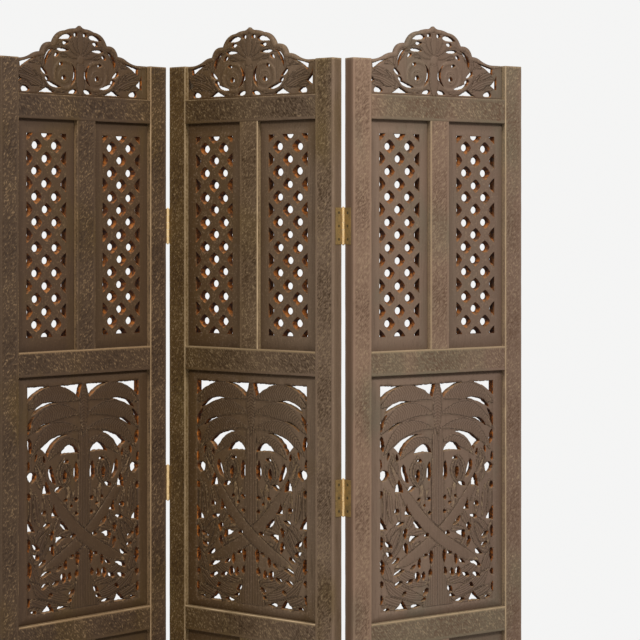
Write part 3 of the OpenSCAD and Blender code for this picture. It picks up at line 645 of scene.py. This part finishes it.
def fretwork(xs, zs, cuts, surface, draw, edge=None, inset=0.0):
    """A board sawn out on a grid, with uneven walls, and carved alike on both faces. surface gives
    the front's y, wear, hollow and score at points."""
    across, up = np.meshgrid(xs, zs)
    at = np.stack([across.ravel(), up.ravel()], -1)
    gap, foot, is_cut = wood_left(at, cuts, edge, inset)
    # The grid's points that lie nearest to a cut move onto it.
    rim = abs(gap) < board_step / 2
    at[rim] = foot[rim]
    y, wear_and_highlight, hollow, score = surface(at, rim, is_cut)
    wood = rim | (gap > 0)
    n = len(at)
    i = np.arange(n).reshape(len(zs), len(xs))
    a, b, c, d = [part.ravel() for part in (i[:-1, :-1], i[:-1, 1:], i[1:, 1:], i[1:, :-1])]
    rising = wood[a] & wood[c] & (~(wood[b] & wood[d]) | (y[a] + y[c] < y[b] + y[d]))
    tris = np.concatenate([np.stack([a, b, np.where(rising, c, d)], -1),
                           np.stack([np.where(rising, a, b), c, d], -1)])
    tris = tris[wood[tris].all(1)]
    p, q, r = [at[tris[:, k]] for k in range(3)]
    size = (q - p)[:, 0] * (r - p)[:, 1] - (q - p)[:, 1] * (r - p)[:, 0]
    tris = tris[size > sliver]
    sawn = np.flatnonzero(rim[tris].all(1))
    lost = wood_left(at[tris[sawn]].mean(1), cuts, edge, inset)[0] < 0
    tris = np.delete(tris, sawn[lost], 0)

    # The walls run from front to back along the edges that only one triangle has.
    sides = np.concatenate([tris[:, [0, 1]], tris[:, [1, 2]], tris[:, [2, 0]]])
    sides = sides[~np.isin(sides[:, 0] * n + sides[:, 1], sides[:, 1] * n + sides[:, 0])]
    run = at[sides[:, 1]] - at[sides[:, 0]]
    out = np.stack([run[:, 1], -run[:, 0]], -1) / np.maximum(np.hypot(*run.T), 1e-6)[:, None]
    outward = np.zeros((n, 2))
    for k in (0, 1):
        np.add.at(outward, sides[:, k], out)
    outward /= np.maximum(np.hypot(*outward.T), 1e-6)[:, None]
    ring = np.unique(sides)
    place = np.zeros(n, int)
    place[ring] = np.arange(len(ring))
    raw = is_cut[ring] & rim[ring]
    rounded = inset * ~raw * rim[ring]
    facing = outward[ring, 1]
    points = [np.stack([at[:, 0], y, at[:, 1]], -1), np.stack([at[:, 0], thick - y, at[:, 1]], -1)]
    face_marks = np.stack([wear_and_highlight, hollow, np.zeros(n), score])
    # Raw walls facing up get a painted highlight in the pale rubbed tone, and raw walls facing down get
    # painted shade towards black; the rounded rims are a little worn and dirty.
    wall_marks = np.stack([0.4 * ~raw + 0.8 * facing.clip(0, 1) ** 2 * raw,
                           np.where(raw, (-facing).clip(0, 0.8), 0.2), raw, 0 * raw])
    half = thick / 2 - y[ring]
    rows = [np.arange(n)]
    # Four rows of points down the walls, of which the middle two are the least even
    walls = ((half - 0.9, 0.7), (half * 0.4, 1), (half * -0.4, 1), (0.9 - half, 0.7))
    for k, (level, jut) in enumerate(walls):
        push = rounded * jut + raw * (draw.normal(1.5, 0.4, len(ring)) if k in (1, 2) else 0.5)
        spot = at[ring] + outward[ring] * push[:, None]
        points.append(np.stack([spot[:, 0], thick / 2 - level, spot[:, 1]], -1))
        rows.append(2 * n + k * len(ring) + place)
    rows.append(np.arange(n) + n)
    faces = [tris, tris[:, ::-1] + n]
    faces += [np.stack([u[sides[:, 0]], v[sides[:, 0]], v[sides[:, 1]], u[sides[:, 1]]], -1)
              for u, v in zip(rows, rows[1:])]
    points = np.concatenate(points)
    marks = np.concatenate([face_marks] * 2 + [wall_marks] * 4, 1)
    used = np.unique(np.concatenate([f.ravel() for f in faces]))
    place = np.zeros(len(points), int)
    place[used] = np.arange(len(used))
    return points[used], [place[f] for f in faces], marks[:, used]


def with_tongues(board, tongues):
    """Adds tongues to a board, each from x0 to x1 and z0 to z1."""
    return with_blocks(*board, [(x0, x1, tongue_y, thick - tongue_y, z0, z1) for x0, x1, z0, z1 in tongues])


# How each kind of shape is formed: how far it rounds off, the height and width of its midrib, and
# how deep the cut round it goes
forms = {"frond": (0.4, 0.4, 1.6, 2.4), "leaf": (0.5, 0.6, 1.5, 2.0), "petal": (0.8, 0.4, 1.2, 1.3),
         "stem": (0.9, 0, 1, 2.4)}


class Relief:
    """The heights of a carving over its ground, laid on shape by shape at the points at."""

    def __init__(self, at):
        self.at = at
        self.height, self.score, self.rubbed = np.zeros((3, len(at)))

    def lay(self, inside, crown, score, drop=2.8):
        """Sets a shape down: inside is how far in each point is, crown its form's height, score its
        place between two veins, and drop how deep the cut round it goes."""
        on, beside = inside > 0, (inside <= 0) & (inside > -2)
        form = relief - drop * (1 - (inside / 2.6).clip(0, 1) ** 0.7) + crown
        foot = np.minimum(self.height, relief - drop * (1 + 0.4 * inside))
        shoulder = np.exp(-((inside - 1.4) / 0.9) ** 2) * np.minimum(drop, 2) / 2
        self.height = np.where(on, form, np.where(beside, foot, self.height))
        self.score = np.where(on & (inside > 1.5), score, np.where(on | beside, 0, self.score))
        self.rubbed = np.where(on, shoulder, np.where(beside, 0, self.rubbed))

    def leaf(self, ax, az, bx, bz, width, bow=0, kind="leaf"):
        """A leaf, frond, petal or stem from a to b."""
        run = np.array([bx - ax, bz - az], float)
        length = np.hypot(*run)
        way = run / length
        off = self.at - (ax, az)
        along = off @ way / length
        aside = off @ (-way[1], way[0]) - bow * 4 * along * (1 - along)
        half = width / 2 * (1 - (2 * along - 1) ** 2)
        if kind == "stem":
            half = width / 2 * (1 - (2 * along - 1) ** 8) * (0.35 + (2 * along).clip(0, 0.65))
        across = (aside / np.maximum(half, 1)).clip(-1, 1)
        roundness, midrib, midrib_w, drop = forms[kind]
        crown = -roundness * across ** 2 - midrib * np.exp(-(aside / midrib_w) ** 2)
        vein = 0.25 + 0 * along
        if kind == "frond":
            vein = along * length / 7 - abs(aside) / 11
            free = (2.5 * along - 1.1).clip(0, 1)
            crown, drop = crown * free, drop * free
        elif kind == "leaf":
            vein = 0.3 + abs(aside) / 5
        if kind in ("leaf", "frond"):
            crown -= 0.7 * abs(vein % 1 - 0.5) * 2
        self.lay(half - abs(aside), crown, 1 + vein % 1000, drop)

    def pair(self, ax, az, bx, bz, width, bow=0, kind="leaf"):
        """The same on both sides of the middle line."""
        for side in (1, -1):
            self.leaf(side * ax, az, side * bx, bz, width, side * bow, kind)

    def disc(self, x, z, r, hollow=0.0):
        away = np.hypot(*(self.at - (x, z)).T)
        crown = 0.2 - 0.9 * (away / r).clip(0, 1) ** 2 - hollow * np.exp(-(away / r / 0.35) ** 2)
        self.lay(r - away, crown, 0, 1.2)

    def ring(self, x, z, r, width):
        away = np.hypot(*(self.at - (x, z)).T)
        self.lay(width / 2 - abs(away - r), -0.6 * ((away - r) / width * 2).clip(-1, 1) ** 2, 0, 1.3)

    def marks(self, shape):
        """Wear on what stands proud of its surroundings, and dirt in what lies below them."""
        level = self.height.reshape(shape)
        around = np.pad(level, 3, mode="edge")
        around = sum(around[i:i + shape[0], j:j + shape[1]]
                     for i in range(0, 7, 2) for j in range(0, 7, 2)) / 16
        proud = 0.7 * (level - around).ravel()
        return np.maximum(proud.clip(0, 0.6), 0.75 * self.rubbed), (-proud).clip(0, 1)


# The drawing, from the middle of the carved field's upper edge: each frond, leaf, pod and slit runs
# from its foot to its tip, with its width and bow, and each gore has its corners and bows.
fronds = [(4, -138, 112, -176, 26, 20, "frond"), (2, -110, 165, -168, 34, 37, "frond"),
          (2, -75, 177, -118, 40, 33, "frond"), (2, -40, 178, -56, 44, 27, "frond")]
leaves = [
    (133, -156, 130, -242, 34, 2), (133, -164, 131, -228, 15, 0), (160, -228, 158, -336, 22, -2),
    (146, -238, 136, -326, 20, 3), (124, -246, 112, -326, 16, 2), (26, -246, 62, -296, 22, 3),
    (88, -236, 104, -286, 16, 3), (24, -296, 66, -338, 20, 2), (70, -292, 96, -342, 20, -3),
    (100, -314, 158, -414, 56, 4), (112, -330, 148, -400, 24, 3), (168, -330, 156, -392, 18, -3),
    (26, -344, 92, -352, 18, 3), (28, -374, 86, -386, 18, 3), (92, -343, 62, -414, 20, 4),
    (172, -396, 140, -474, 28, -5), (22, -466, 132, -420, 34, -12), (28, -504, 158, -446, 50, -20),
    (58, -514, 172, -482, 30, -10), (118, -516, 172, -504, 12, -2)]
pods = [(50, -226, 44, -296, 15, 0, "stem"), (60, -168, 62, -244, 50), (60, -176, 62, -236, 30),
        (60, -186, 62, -226, 14, 0, "petal")]
palm_slits = [
    (78, -41, 160, -67, 9, 10), (102, -86, 148, -108, 6, 5), (150, -66, 172, -112, 10, 4),
    (167, -116, 161, -154, 12), (168, -168, 168, -194, 8), (157, -194, 157, -222, 25),
    (166, -240, 166, -260, 12), (25, -179, 25, -228, 13), (102, -182, 85, -229, 14, 5),
    (46, -178, 63, -181, 9, 1), (59, -196, 60, -229, 11), (143, -153, 148, -174, 6),
    (122, -158, 118, -178, 7), (63, -236, 87, -247, 10, 2), (21, -263, 28, -274, 11),
    (51, -264, 62, -271, 8, -1), (35, -286, 44, -280, 8, 1), (17, -301, 29, -302, 10),
    (114, -286, 126, -297, 12), (99, -317, 122, -323, 9), (72, -314, 46, -338, 10, 2),
    (25, -350, 41, -356, 11), (93, -332, 97, -358, 11, 2), (96, -364, 90, -394, 11, 2),
    (134, -375, 156, -359, 11), (134, -395, 153, -384, 11), (167, -345, 167, -378, 11),
    (166, -398, 164, -436, 14), (114, -398, 138, -413, 10, -2), (20, -388, 21, -424, 11),
    (22, -430, 25, -451, 11), (29, -397, 44, -404, 9, 1), (54, -402, 56, -430, 9, 1),
    (66, -418, 84, -430, 8), (62, -434, 63, -461, 14), (42, -434, 46, -457, 11),
    (98, -427, 132, -441, 10, 2), (104, -454, 130, -466, 10, 1), (74, -451, 96, -461, 10),
    (96, -477, 108, -489, 9), (30, -476, 46, -493, 11), (166, -448, 166, -466, 11),
    (168, -480, 168, -506, 9), (143, -516, 161, -515, 8), (52, -515, 83, -514, 9),
    (37, -498, 54, -505, 8)]
palm_gores = [
    ((171, 0), (171, -37), (95, -1), 0, -7, 0), ((84, -1), (16, -33), (6, 0), -6, 0, 0),
    ((44, -116), (130, -144), (110, -166), 11, -2, -13), ((17, -162), (41, -138), (73, -163), 5, 6, -3),
    ((115, -217), (126, -252), (102, -251), 2, -3, 3), ((91, -272), (97, -306), (75, -304), 1, -2, -3),
    ((171, -297), (171, -335), (147, -333), 0, -2, 2), ((55, -353), (83, -350), (82, -371), 2, 3, 0),
    ((91, -521), (107, -497), (132, -521), 1, -1, 0)]
right_half = [slit(*c) for c in palm_slits] + [gore(*c) for c in palm_gores]
field_w, field_h = inner_w - 2 * palm_side, palm_h - palm_top - palm_foot
field_columns, field_rows, slope_rows = 163, 247, 5
trunk_zs, trunk_halves = (-521, -475, -430, -200, -110, -96), (46, 29, 20, 20, 15, 2)


def palm_board(seed):
    """A palm board, from its lower left corner."""
    draw = np.random.default_rng(seed)
    centre = np.array([inner_w / 2, palm_h - palm_top])
    (sway, sway_turn, fine_turn), (lift, lift_turn, _) = draw.uniform(-1, 1, (2, 3))

    def by_hand(at):
        """No two boards are alike: the drawing wanders by a millimetre or two."""
        x, z = at.T
        sideways = 1.3 * sway * np.sin(z / 70 + sway_turn * 3) + 0.8 * np.sin(x / 31 + fine_turn * 5)
        return np.stack([x + sideways, z + 1.3 * lift * np.sin(x / 60 + lift_turn * 3)], -1)

    half_w = field_w / 2
    cuts = []
    for cut in right_half + [cut * (-1, 1) for cut in right_half]:
        moved = by_hand(cut) + draw.normal(0, 0.55, cut.shape)
        flush = abs(cut[:, 0]) >= half_w - 0.01
        moved[flush, 0] = cut[flush, 0]
        cuts.append(moved.clip((-half_w, -field_h), (half_w, 0)) + centre)
    bevel, low, high = [np.linspace(0, side - lip, slope_rows) for side in (palm_side, palm_foot, palm_top)]
    xs = np.concatenate([bevel, np.linspace(palm_side, inner_w - palm_side, field_columns),
                         inner_w - bevel[::-1]])
    zs = np.concatenate([low, np.linspace(palm_foot, palm_h - palm_top, field_rows), palm_h - high[::-1]])

    def surface(at, rim, is_cut):
        x, z = at.T
        margins = [(palm_side, x), (palm_side, inner_w - x), (palm_foot, z), (palm_top, palm_h - z)]
        slope = np.maximum.reduce([((side - lip - d) / (side - lip)).clip(0, 1) for side, d in margins])
        inside = np.minimum.reduce([d - side for side, d in margins])
        field = inside > 0
        carving = Relief(by_hand(at - centre))
        for leaf in fronds + leaves:
            carving.pair(*leaf)
        # The trunk is scored with upright lines, and merges into the fronds.
        x, z = carving.at.T
        half = np.interp(z, trunk_zs, trunk_halves)
        bark = -0.5 * (x / half).clip(-1, 1) ** 2 - 0.3 * (abs(x / 5 % 1 - 0.5) * 2)
        carving.lay(half - abs(x), bark, 1.5 + x / 5 % 100, 0.4 + 2 * ((-z - 90) / 60).clip(0, 1))
        carving.leaf(0, 6, 0, -122, 26, 0, "frond")
        carving.pair(146, -173, -129, -424, 31, 40, "stem")
        for pod in pods:
            carving.pair(*pod)
        carving.height = np.where(field, carving.height, relief)
        wear_and_highlight, hollow = carving.marks((len(zs), len(xs)))
        y = recess + relief - carving.height + (tongue_y - recess) * slope + 0.5 * rim
        # The sloping border darkens towards the frame.
        return (y, np.where(field, wear_and_highlight, 0.15) + 0.15 * rim, np.maximum(hollow * field, 0.55 * slope ** 2),
                np.where(inside > 1, carving.score, 0))

    out = tongue_out
    return with_tongues(fretwork(xs, zs, cuts, surface, draw), [
        (-out, 1, -out, palm_h + out), (inner_w - 1, inner_w + out, -out, palm_h + out),
        (1, inner_w - 1, -out, 1), (1, inner_w - 1, palm_h - 1, palm_h + out)])


for i, panel in enumerate(stands):
    fit_piece(panel, "palm", palm_board(80 + i), (stile_w, 0, palm_z), board_wood, 42)


# Crests: a pierced board over each top rail, with a shell in the middle, scrolls and leaves beside
# it and a rounded rim along its scalloped top edge. Its tongue stands in the rail and the stiles.
crest_rise, crest_shift, crest_t, crest_foot, rim_w, deepest = 85, -9, 13, 4, 12, 3.6
crest_columns, crest_rows = 203, 84
# The drawing, in the same way from the middle of the crest's foot
crest_slits = [
    (151, 9, 178, 11, 15), (58, 19, 104, 33, 9, -3), (10, 13, 36, 6, 11), (45, 45, 57, 38, 11),
    (33, 21, 30, 78, 7.5, 15), (53, 73, 66, 74, 8), (34, 106, 72, 107, 8), (25, 139, 66, 131, 12, 2),
    (35, 124, 55, 122, 9), (8, 145, 21, 140, 10), (79, 110, 106, 67, 7.5, 9), (66, 98, 79, 87, 8, 1),
    (98, 46, 119, 63, 9, -2), (93, 34, 108, 41, 9)]
crest_gores = [((120, 87), (182, 73), (180, 56), 1, 0, -4), ((194, 68), (194, 20), (174, 33), 0, 0, -5),
               ((72, 2), (103, 19), (134, 3), 1, -2, 0)]
crest_leaves = [
    (88, 10, 142, 22, 13, 4), (118, 68, 186, 72, 15, 8), (112, 22, 190, 46, 40, 6),
    (130, 40, 188, 62, 16, 3), (150, 20, 186, 24, 14, 2), (84, 98, 114, 58, 24, 14),
    (62, 112, 96, 104, 16, 3), (24, 104, 70, 116, 18, 4), (20, 90, 66, 92, 16, 3)]
top_points = [(-180, 0), (-145, 10), (-118, 18), (-83, 41), (-42, 71), (-14, 77), (0, crest_rise)]
top_bows = (-2, 2, 9, 8, 1.5, -1.5)
crest_left, crest_right = inner_w / 2 + crest_shift, inner_w / 2 - crest_shift


def crest(seed, grime):
    """A crest, from its lower left corner. grime darkens all of it."""
    draw = np.random.default_rng(seed)
    e = crest_end_h
    rise = np.concatenate([bowed(*side, 8) for side in zip(top_points, top_points[1:], top_bows)]) + (0, e)
    edge = np.concatenate([[(-crest_left, 0), (-crest_left, e)], rise, [(0, e + crest_rise)],
                           rise[::-1] * (-1, 1), [(crest_right, e), (crest_right, 0)]])
    middle = np.array([crest_left, 0])
    sway, sway_turn, lift_turn = draw.uniform(-1, 1, 3)

    def by_hand(at):
        x, z = at.T
        return np.stack([x + 0.7 * sway * np.sin(z / 30 + sway_turn * 3),
                         z + 0.6 * np.sin(x / 28 + lift_turn * 5)], -1)

    right = [slit(*c) for c in crest_slits] + [gore(*c) for c in crest_gores]
    cuts = [np.maximum(by_hand(c * (side, 1)), (-crest_left - 1, crest_foot)) + middle
            for c in right for side in (1, -1)]
    xs, zs = np.linspace(0, inner_w, crest_columns), np.linspace(0, e + crest_rise, crest_rows)
    front = (thick - crest_t) / 2

    def surface(at, rim, is_cut):
        carving = Relief(by_hand(at - middle))
        x, z = carving.at.T
        for leaf in crest_leaves:
            carving.pair(*leaf)
        carving.pair(40, 8, 122, 58, 17, -14, "stem")
        for side in (1, -1):
            carving.ring(side * 48, 48, 32, 11)
            carving.disc(side * 50, 45, 19, 0.6)
            carving.ring(side * 50, 45, 11, 4)
        carving.leaf(0, -6, 0, 82, 26, 0, "stem")
        # The shell: seven petals, the middle one on top, round a button
        for k in (0, 6, 1, 5, 2, 4, 3):
            turn = math.radians(-78 + 26 * k)
            ax, az = -6 * math.sin(turn), 88 + 4 * math.cos(turn)
            carving.leaf(ax, az, 60 * math.sin(turn), 92 + 60 * math.cos(turn), 21, 0, "petal")
        carving.disc(0, 84, 11, 0.4)
        within = -nearest(at, edge + middle)[0]
        band = (at[:, 1] > 30) & (z > 40 + 0.18 * abs(x))
        across_rim = ((within - rim_w / 2) / (rim_w / 2)).clip(-1.3, 1.3)
        carving.lay(np.where(band, rim_w - within, -9), -1.2 * abs(across_rim) ** 2.5, 0, 1.5)
        wear_and_highlight, hollow = carving.marks((len(zs), len(xs)))
        y = front + relief - carving.height + rim * np.where(is_cut, 0.5, 0.8)
        return np.minimum(y, front + deepest), 0.7 * wear_and_highlight + 0.1 * rim, 0.7 * hollow + grime, carving.score

    out, tongue_h = tongue_out, crest_groove_h - 2
    return with_tongues(fretwork(xs, zs, cuts, surface, draw, edge + middle, 1.2), [
        (-out, 1, 1, tongue_h), (inner_w - 1, inner_w + out, 1, tongue_h),
        (end_gap, inner_w - end_gap, -out, 1)])


for i, panel in enumerate(stands):
    fit_piece(panel, "crest", crest(90 + i, 0.3 if panel == "right" else 0), (stile_w, 0, crest_z),
              board_wood, 42)


# Hinges: cast brass butts with their pins and wood screws, taken over from the imported model. The
# leaves are tarnished olive brown, the barrels are painted bright gold as a painted highlight, and the
# screws are nearly black.
barrel_highlight_gold, barrel_brown = (0.98, 0.72, 0.38), (0.55, 0.36, 0.15)


def old_brass(name, bright, dull, pin=None):
    """Brass that has gone dull in patches. Round the axis of its pin, where given, it is painted bright as
    a highlight.
    """
    f = Finish(bpy.data.materials.new(name))
    place = f.node("ShaderNodeTexCoord", out="Object")
    fleck = f.noise(place, 0.0025, (1, 1, 1), 2.0, (2, 4, 1))
    dulled = f.ramp(f.noise(place, 0.016, (1, 1, 1), 4.0) + fleck * 0.5, 0.55, 0.95)
    colour = f.blend(dulled, bright, dull)
    if pin:
        off = f.node("ShaderNodeVectorMath", {"operation": "SUBTRACT"}, {0: place, 1: pin})
        flat = f.node("ShaderNodeVectorMath", {"operation": "MULTIPLY"}, {0: off, 1: (1, 1, 0)})
        away = f.node("ShaderNodeVectorMath", {"operation": "LENGTH"}, {0: flat}, out=1)
        barrel = f.blend(fleck, barrel_highlight_gold, barrel_brown)
        colour = f.blend(f.ramp(away, 0.0035, 0.0048), barrel, colour)
    return f.surface((0.5, 0.0003, fleck), {
        "Base Color": colour, "Metallic": 0.5 - dulled * 0.2, "Roughness": dulled * 0.2 + 0.34})


pin_brass = old_brass("pin_brass", barrel_highlight_gold, (0.66, 0.45, 0.20))
screw_brass = old_brass("screw_brass", (0.10, 0.07, 0.03), (0.04, 0.028, 0.016))
for name, node in frame["nodes"].items():
    if "_seam_leaves" in name:
        pin = node.matrix_world.inverted() @ Vector(pins[name.split("_")[0] + "_fold"])
        node.data.materials[0] = old_brass(name, (0.34, 0.22, 0.08), (0.17, 0.11, 0.04), tuple(pin))
    elif "_seam_" in name:
        node.data.materials[0] = pin_brass if "pins" in name else screw_brass
